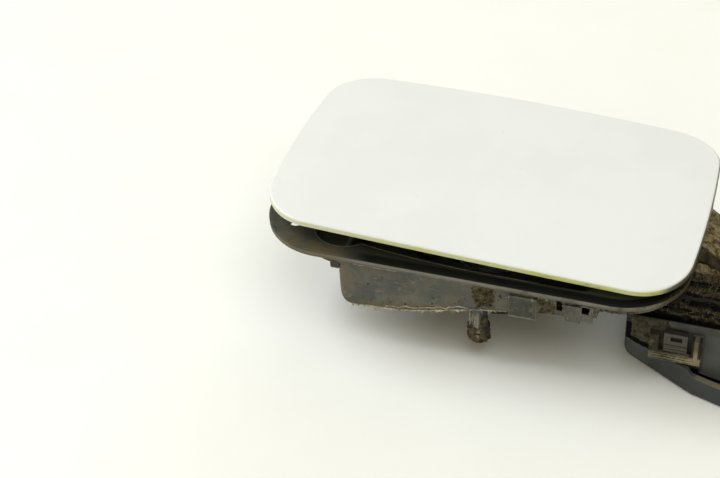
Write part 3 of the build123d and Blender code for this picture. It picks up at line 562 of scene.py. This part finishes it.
lock_plastic = plastic("lock_plastic", (0.03, 0.03, 0.032), 0.4)
black_rubber = rubber("black_rubber")
plated = steel("plated_steel", (0.60, 0.59, 0.55), 0.0)
dark_steel = steel("dark_steel", (0.30, 0.30, 0.31), 0.05)
earth = soil("dry_soil")
dark_earth = soil("dark_soil", 0.45, 1.3)
# Soil made three times brighter: painted light where the door shades the roof, the slot and the arm
lit_earth = soil("lit_soil", 0.0, 3.0)
flash = pale_mottle("pale_mottle", (0.20, 0.18, 0.12), (0.55, 0.52, 0.42))
edge_glint = pale_mottle("edge_glint", (0.07, 0.068, 0.058), (0.15, 0.145, 0.12))
glint = pale_mottle("glint", (0.12, 0.11, 0.08), (0.36, 0.34, 0.28))
fibre = pale_mottle("fibre", (0.15, 0.125, 0.075), (0.46, 0.40, 0.27))

skins = {
    "door_skin": white_paint("white_paint", True),
    "door_inner": white_paint("inner_paint", False),
    "housing": housing_skin("housing_plastic", (0.092, 0.092, 0.083)),
    "hinge_cover": cover_skin("cover_plastic", (0.084, 0.089, 0.090)),
    "hinge_arm": arm_skin("arm_plastic", (0.040, 0.039, 0.036)),
    "arm_bushes": plastic("bush_plastic", (0.30, 0.29, 0.25), 0.2),
    "arm_screws": plated,
    "hinge_pin": plated,
    "pin_retainers": dark_steel,
    "hinge_spring": dark_steel,
    "lock_striker": plated,
    "striker_rivets": plated,
    "lock_case": lock_plastic,
    "lock_lid": lock_plastic,
    "lock_motor": plated,
    "lock_screws": plated,
    "lock_bolt": plated,
    "filler_boot": black_rubber,
    "boot_ring": plastic("ring_plastic", (0.04, 0.041, 0.043), 0.4),
    "ring_screws": plated,
    "bump_stops": black_rubber,
}
for name, shade in skins.items():
    mesh = nodes[name].data
    mesh.materials.clear()
    mesh.materials.append(shade.material)


# Mesh pieces, with points in millimetres
def piece(name, points, faces, shade, body="housing"):
    mesh = bpy.data.meshes.new(name)
    mesh.from_pydata([Vector(p) * MM for p in points], [], faces)
    mesh.polygons.foreach_set("use_smooth", [True] * len(mesh.polygons))
    mesh.materials.append(shade.material)
    mesh.update()
    made = bpy.data.objects.new(name, mesh)
    scene.collection.objects.link(made)
    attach(made, body)


def surface_of(name):
    node = nodes[name]
    corners = [node.matrix_world @ v.co / MM for v in node.data.vertices]
    return BVHTree.FromPolygons(corners, [tuple(p.vertices) for p in node.data.polygons])


def rough(point, size):
    dimension, lacunarity, octaves = 0.7, 2.1, 4
    return noise.fractal(Vector(point) / size, dimension, lacunarity, octaves)


def fade(value, low, high):
    return min(max((value - low) / (high - low), 0.0), 1.0)


# Places from one end to the other, both ends included
def spaced(low, high, count):
    return [low + (high - low) * k / count for k in range(count + 1)]


# Quads between rows of points, each row a ring unless it is open
def quads(rows, count, start=0, ring=True):
    faces = []
    for a in range(start, start + (rows - 1) * count, count):
        for n in range(count if ring else count - 1):
            m = (n + 1) % count
            faces.append((a + n, a + m, a + count + m, a + count + n))
    return faces


def circle(count):
    turns = (2 * math.pi * n / count for n in range(count))
    return [Vector((math.cos(turn), math.sin(turn), 0)) for turn in turns]


CRUST_JITTER = 0.3  # share of a cell that its corner may wander
CRUST_REACH = 60  # how far the rays look for the surface
CRUST_SUNK = -0.3  # how far bare places lie under the surface
CRUST_STEP = 1.6  # a face that falls further than this is left out
CRUST_THICK = 0.25  # lumps from here up carry fibres
DOWN, INWARD = (0, 0, -1), (0, 1, 0)


# Crust of soil that follows a surface seen from one side; gives back its thick places
def crust(name, surface, start, along, across, count, toward, thick, shade, body="housing"):
    start, along, across, toward = (Vector(v) for v in (start, along, across, toward))
    points, depths, lumps, index = [], [], [], {}
    for j in range(count[1] + 1):
        for i in range(count[0] + 1):
            shift = Vector((rough((i, j, 3), 2.0), rough((i, j, 9), 2.0), 0)) * CRUST_JITTER
            p = start + along * ((i + shift.x) / count[0]) + across * ((j + shift.y) / count[1])
            spot, normal, _, depth = surface.ray_cast(p, toward, CRUST_REACH)
            if spot is None:
                continue
            lump = max(thick(spot, normal), CRUST_SUNK)
            index[i, j] = len(points)
            points.append(spot + (normal - toward).normalized() * lump)
            depths.append(depth)
            lumps.append(lump)
    faces = []
    for (i, j) in index:
        corners = [(i, j), (i + 1, j), (i + 1, j + 1), (i, j + 1)]
        if all(c in index for c in corners):
            face = [index[c] for c in corners]
            span = [depths[k] for k in face]
            if max(span) - min(span) < CRUST_STEP and max(lumps[k] for k in face) > 0:
                faces.append(face)
    used = sorted({k for face in faces for k in face})
    place = {k: n for n, k in enumerate(used)}
    faces = [[place[k] for k in face] for face in faces]
    piece(name, [points[k] for k in used], faces, shade, body)
    return [points[k] for k in used if lumps[k] > CRUST_THICK]


# Ragged threads and fibres as thin ribbons
def ribbons(name, starts, length, width, spread, lean, shade, seed):
    draw = random.Random(seed)
    points, faces = [], []
    for start in starts:
        way = Vector([draw.uniform(-1, 1) * s for s in spread]) + Vector(lean)
        bend = Vector([draw.uniform(-0.5, 0.5) for _ in range(3)])
        side = way.cross(Vector((0.3, 0.8, 0.5))).normalized() * width / 2
        reach = draw.uniform(*length)
        spot = Vector(start)
        for k in range(5):
            thin = 1.0 - 0.2 * k
            points += [spot - side * thin, spot + side * thin]
            if k:
                n = len(points)
                faces.append((n - 4, n - 3, n - 1, n - 2))
            spot = spot + (way + bend * k * 0.35).normalized() * reach / 4
    piece(name, points, faces, shade)


def tube(name, path, radius, shade):
    path = [Vector(p) for p in path]
    section = circle(6)
    points = []
    for k, spot in enumerate(path):
        way = (path[min(k + 1, len(path) - 1)] - path[max(k - 1, 0)]).normalized()
        side = way.cross(Vector((0, 0, 1))).normalized()
        rise = side.cross(way)
        points += [spot + side * radius * c.x + rise * radius * c.y for c in section]
    piece(name, points, quads(len(path), len(section)), shade)


# Small uneven balls
def lumps(name, spots, shade):
    rows, count = 6, 8
    points, faces = [], []
    for k, (spot, radius) in enumerate(spots):
        start = len(points)
        for j in range(rows):
            tilt = math.pi * (j + 0.5) / rows
            for c in circle(count):
                way = c * math.sin(tilt) + Vector((0, 0, math.cos(tilt)))
                uneven = 1 + 0.6 * rough(way + Vector((k * 5, 0, 0)), 0.8)
                points.append(Vector(spot) + way * radius * uneven)
        faces += quads(rows, count, start)
        faces.append(tuple(reversed(range(start, start + count))))
        faces.append(tuple(range(len(points) - count, len(points))))
    piece(name, points, faces, shade)


# Spring that winds up between the housing and the arm
spring = bpy.data.objects.new("wound_spring", nodes["hinge_spring"].data.copy())
scene.collection.objects.link(spring)
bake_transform(spring)
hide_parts("hinge_spring")

housing_surface = surface_of("housing")
arm_surface = surface_of("hinge_arm")


# Soil caked on the hinge pocket, its ridges and its roof
def ridge_soil(p, n):
    edge = min(fade(p.x, 70.8, 73.5), fade(p.y, -42.2, -40.6), fade(-p.y, 16.6, 17.6))
    groove = min(*(abs(p.y - middle) / half for middle, half in GROOVES), 1.0)
    heap = 0.6 + 0.9 * rough(p, 3.2) + 0.8 * rough(p, 1.0)
    return heap * max(n.z, 0.15) * edge * groove - 0.25 * (1 - edge) - 0.2 * (1 - groove)


def roof_soil(p, n):
    return 0.15 + 0.5 * rough(p, 3.5) + 0.3 * rough(p, 0.9) - 0.6 * (1 - fade(p.y, 16.6, 18))


tufts = crust("ridge_soil", housing_surface, (71, -45.8, -1.5), (62.8, 0, 0), (0, 29, 0), (150, 72),
              DOWN, ridge_soil, earth)
crust("roof_soil", housing_surface, (74, 16.9, -1.5), (59, 0, 0), (0, 12.5, 0), (96, 24),
      DOWN, roof_soil, lit_earth)


# Soil heaped along the arm's slot
heap = []
for x in spaced(86, 128, 90):
    rise = -8.8 + 0.9 * rough((x, 1, 0), 3.0) + 0.5 * rough((x, 6, 0), 0.9)
    rise += 3.5 * math.exp(-(((x - 96) / 5) ** 2))
    crest = ((-16.4, rise), (-15.3, rise - 0.2), (-14.6, rise - 1.6))
    for y, z in ((-18.6, -10.7), (-17.4, -9.9), *crest, (-14.5, -13.5)):
        inside = min(y + 0.35 * rough((x, y, 2), 1.2), -14.4)
        heap.append((x, inside, z + 0.3 * rough((x, y, 8), 1.0)))
piece("slot_soil", heap, quads(len(heap) // 6, 6, ring=False), lit_earth)


# Soil on the pocket's wall, above the gap along the cover
def wall_soil(p, n):
    above = p.z + COVER_SLOPE * p.x
    right = fade(86 + 14 * rough(p, 5), p.x, p.x + 6)
    edge = min(fade(p.x, 73.2, 74.6), fade(above, 1.4, 2.8), right)
    return (0.22 + 0.45 * rough(p, 2.6) + 0.30 * rough(p, 0.7)) * edge - 0.3 * (1 - edge)


crust("pocket_wall_soil", housing_surface, (71.2, -52, -32), (22, 0, 0), (0, 0, 15.5), (60, 44),
      INWARD, wall_soil, dark_earth)


# Patches of soil on the front wall and the lip, and soil on the arm
def patch_soil(middle, half, heap):
    def thick(p, n):
        off = math.hypot((p.x - middle[0]) / half[0], (p.z - middle[1]) / half[1])
        edge = fade(1.1 + 0.7 * rough(p, 3.0) + 0.35 * rough(p, 1.1) - off, 0, 0.4)
        return heap * (0.35 + 0.9 * rough(p, 1.6) + 0.7 * rough(p, 0.6)) * edge - 0.3 * (1 - edge)
    return thick


def arm_soil(p, n):
    return 0.20 + 0.40 * rough(p, 3.0) + 0.35 * rough(p, 0.8)


crust("drain_patch_soil", housing_surface, (4, -66, -18), (17, 0, 0), (0, 0, 17), (56, 56),
      INWARD, patch_soil((12, -8.5), (5.4, 6.8), 0.8), earth)
crust("clip_patch_soil", housing_surface, (33, -66, -14), (16, 0, 0), (0, 0, 13), (52, 44),
      INWARD, patch_soil((39.4, -6.4), (4.2, 5.2), 0.6), earth)
crust("lip_soil", housing_surface, (59, -66, -6), (24, 0, 0), (0, 0, 6.5), (70, 22),
      INWARD, patch_soil((68, -4.0), (9.0, 2.6), 0.7), earth)
crust("arm_soil", arm_surface, (91, -13.4, 4), (14, 0, 0), (0, 26.8, 0), (40, 70),
      DOWN, arm_soil, lit_earth, "door")


# Crumbs stuck round the end of the drain
drain = Vector((DRAIN_X, DRAIN_Y, 0))
rings, around = 20, circle(44)
crumbs = []
for z in spaced(DRAIN_FOOT, DRAIN_FOOT + 9.0, rings):
    level = Vector((0, 0, z))
    radius = DRAIN_BEAD_RADIUS if z < DRAIN_BEAD_TOP else DRAIN_RADIUS
    for way in around:
        lump = 0.25 + 0.8 * rough(way * 3.5 + level, 2.2) + 0.5 * rough(way * 4 + level, 0.8)
        out = radius + max(lump, CRUST_SUNK) * fade(-27.6 - z, 0, 2) - 0.05
        crumbs.append(drain + way * out + level)
crumb_faces = quads(rings + 1, len(around))
foot = len(crumbs)
for n, way in enumerate(around):
    m = (n + 1) % len(around)
    crumbs.append(drain + way * 2.7 + Vector((0, 0, DRAIN_FOOT + 0.25)))
    crumb_faces.append((foot + n, foot + m, m, n))
piece("drain_crumbs", crumbs, crumb_faces, earth)


# Ragged flash, threads and fibres along the foot of the front wall and in the pocket
def foot_z(x):
    for (x0, z0), (x1, z1) in zip(FOOT_LINE, FOOT_LINE[1:]):
        if x <= x1:
            break
    low = z0 + (z1 - z0) * (x - x0) / (x1 - x0)
    return low + max(0.0, (-48.8 - x) / 7.0) ** 2 * 7.0


fringe = []
for x in spaced(-49, 22, 420):
    hang = 0.45 + 1.3 * rough((x, 2, 0), 6.0) + 1.3 * rough((x, 7, 0), 1.3)
    hang = max(0.06, hang * (1.0 - 0.85 * fade(x, 0, 5)))
    out = WALL_Y + 0.3 * rough((x, 4, 0), 1.6) - 0.15
    z = foot_z(x)
    fringe += [(x, WALL_Y, z + 0.25 + 0.3 * rough((x, 9, 0), 1.5)), (x, out - 0.15, z - 0.1),
               (x, out - 0.02, z - hang), (x, out + 0.25, z - 0.05)]
piece("foot_flash", fringe, quads(len(fringe) // 4, 4), flash)

thread = []
for x in spaced(-33, 5, 90):
    rise = 1.5 + 0.8 * rough((x, 8, 0), 5.0) + 0.4 * rough((x, 1, 0), 1.2)
    thread.append((x, WALL_Y - 0.15 + 0.15 * rough((x, 3, 0), 2.0), foot_z(x) + rise))
tube("foot_thread", thread, 0.24, flash)

pick = random.Random(5)
hung = [(x, WALL_Y, foot_z(x) + 0.2) for x in (pick.uniform(-48, 21) for _ in range(130))]
ribbons("foot_threads", hung, (0.8, 3.4), 0.30, (1.0, 0.4, 0.5), (0, -0.15, -0.35), flash, 3)
tufts = pick.sample(tufts, min(len(tufts), 800))
ribbons("pocket_fibres", tufts, (1.0, 3.2), 0.17, (1.0, 1.0, 0.3), (0, 0, 0.45), fibre, 8)

thread = []
for k, x in enumerate(spaced(-47, -27, 24)):
    y = WALL_Y - 0.15 + 0.1 * rough((k, 0, 0), 3.0)
    thread.append((x, y, -2.4 - 0.5 * rough((k, 5, 0), 6.0)))
tube("wall_thread", thread, 0.16, flash)


# Painted highlight: thin pale tubes along the edge round the opening and its bays
for side, word in ((-1, "front"), (1, "back")):
    arc = []
    for turn in spaced(math.radians(196), math.radians(312), 40):
        x, y = BAY_X + BAY_RADIUS * math.cos(turn), BAY_Y - BAY_RADIUS * math.sin(turn)
        arc.append((x, side * y, EDGE_Z))
    tube(f"bay_edge_{word}", arc, 0.26, edge_glint)
    line = []
    for x in spaced(-46, 57, 70):
        half = 57.05 - 6.0 * max(0.0, (17 - x) / 69) ** 2
        line.append((x, side * half, EDGE_Z - 0.5 * fade(x, 25, 57)))
    tube(f"opening_edge_{word}", line, 0.24, edge_glint)


# Scratches and a pale line of flash on the clip plates
burr = [(x, -60.72, -14.46 + 0.12 * rough((k, 2, 0), 4.0)) for k, x in enumerate(spaced(23.1, 34.9, 40))]
tube("plate_flash", burr, 0.14, flash)
tube("plate_scratch", [(23.08, -60.66 + 0.03 * k, -3.6 - 0.5 * k) for k in range(8)], 0.13, flash)
tube("wall_scratch", [(21.4 + 0.2 * k, -59.55, -5.9 + 0.05 * k) for k in range(9)], 0.12, flash)


# Small lumps of soil and strands stuck to the wall, the plates and the drain; painted highlights on the
# plates as small pale lumps
stuck = []
for _ in range(9):
    x, z, radius = pick.uniform(-50, 58), pick.uniform(-14, -4), pick.uniform(0.2, 0.55)
    stuck.append(((x, WALL_Y + 0.15, z), radius))
for _ in range(12):
    x, rise, radius = pick.uniform(-46, 4), pick.uniform(0.2, 4), pick.uniform(0.2, 0.6)
    stuck.append(((x, WALL_Y + 0.2, foot_z(x) + rise), radius))
stuck += [((11.0, -56.6, -24.0), 1.3), ((10.4, -57.0, -25.6), 1.1), ((11.6, -56.2, -22.8), 0.8)]
lumps("stuck_crumbs", stuck, earth)

# Painted highlights: small pale lumps at the plates' hole and edges
glints = [((52.5, -60.6, -3.15), 0.42), ((57.7, -60.65, -5.2), 0.42), ((55.2, -60.6, -1.9), 0.38),
         ((48.6, -60.65, -9.9), 0.3), ((46.1, -59.5, -2.8), 0.5), ((46.0, -59.5, -4.6), 0.36),
         ((33.1, -60.6, -3.5), 0.7), ((39.1, -59.6, -2.6), 0.75)]
lumps("plate_glints", glints, glint)

hairs = []
for _ in range(24):
    turn, z = pick.uniform(-2.9, -1.6), pick.uniform(-27, -20.5)
    radius = DRAIN_RADIUS + 0.05
    hairs.append((DRAIN_X + radius * math.cos(turn), DRAIN_Y + radius * math.sin(turn), z))
ribbons("drain_strands", hairs, (2.0, 5.0), 0.24, (0.25, 0.15, 0.2), (-0.05, -0.1, -1.0), flash, 12)


# Pale floor
floor_mesh = bpy.data.meshes.new("floor")
floor_shape = bmesh.new()
bmesh.ops.create_grid(floor_shape, x_segments=1, y_segments=1, size=3.0)
floor_shape.to_mesh(floor_mesh)
floor_shape.free()
floor = bpy.data.objects.new("floor", floor_mesh)
floor.location = (0, 0, cad_box[0][2])
scene.collection.objects.link(floor)
pale = Shade("pale_floor", 0.6)
pale.use("Base Color", pale.mix(pale.blotch(60, 3, 0.6, 0.3, 0.7), *FLOOR))
floor_mesh.materials.append(pale.material)


# Soft studio light
world = bpy.data.worlds.new("studio")
world.use_nodes = True
sky = world.node_tree.nodes["Background"]
sky.inputs["Color"].default_value = SKY
sky.inputs["Strength"].default_value = 0.41
scene.world = world
scene.view_settings.view_transform = "Standard"


def lamp(name, place, aim, size, power, shine=True):
    data = bpy.data.lights.new(name, "AREA")
    data.shape = "RECTANGLE"
    data.size, data.size_y = size
    data.energy = power
    data.color = LAMP
    light = bpy.data.objects.new(name, data)
    light.location = place
    light.rotation_euler = (Vector(aim) - Vector(place)).to_track_quat("-Z", "Y").to_euler()
    light.visible_glossy = shine
    scene.collection.objects.link(light)


lamp("key", (-1.9, 0.1, 2.0), (0, 0, 0), (1.6, 1.6), 50)
lamp("overhead", (0.4, -0.5, 1.3), (0.06, -0.08, 0), (1.2, 1.0), 7.2)
lamp("fill", (-0.9, -1.2, 0.36), (0.0, -0.05, -0.045), (0.9, 0.5), 2.0, False)
lamp("window", (0.02, 2.8, 1.05), (0.06, 0, -0.045), (1.2, 0.6), 23, False)
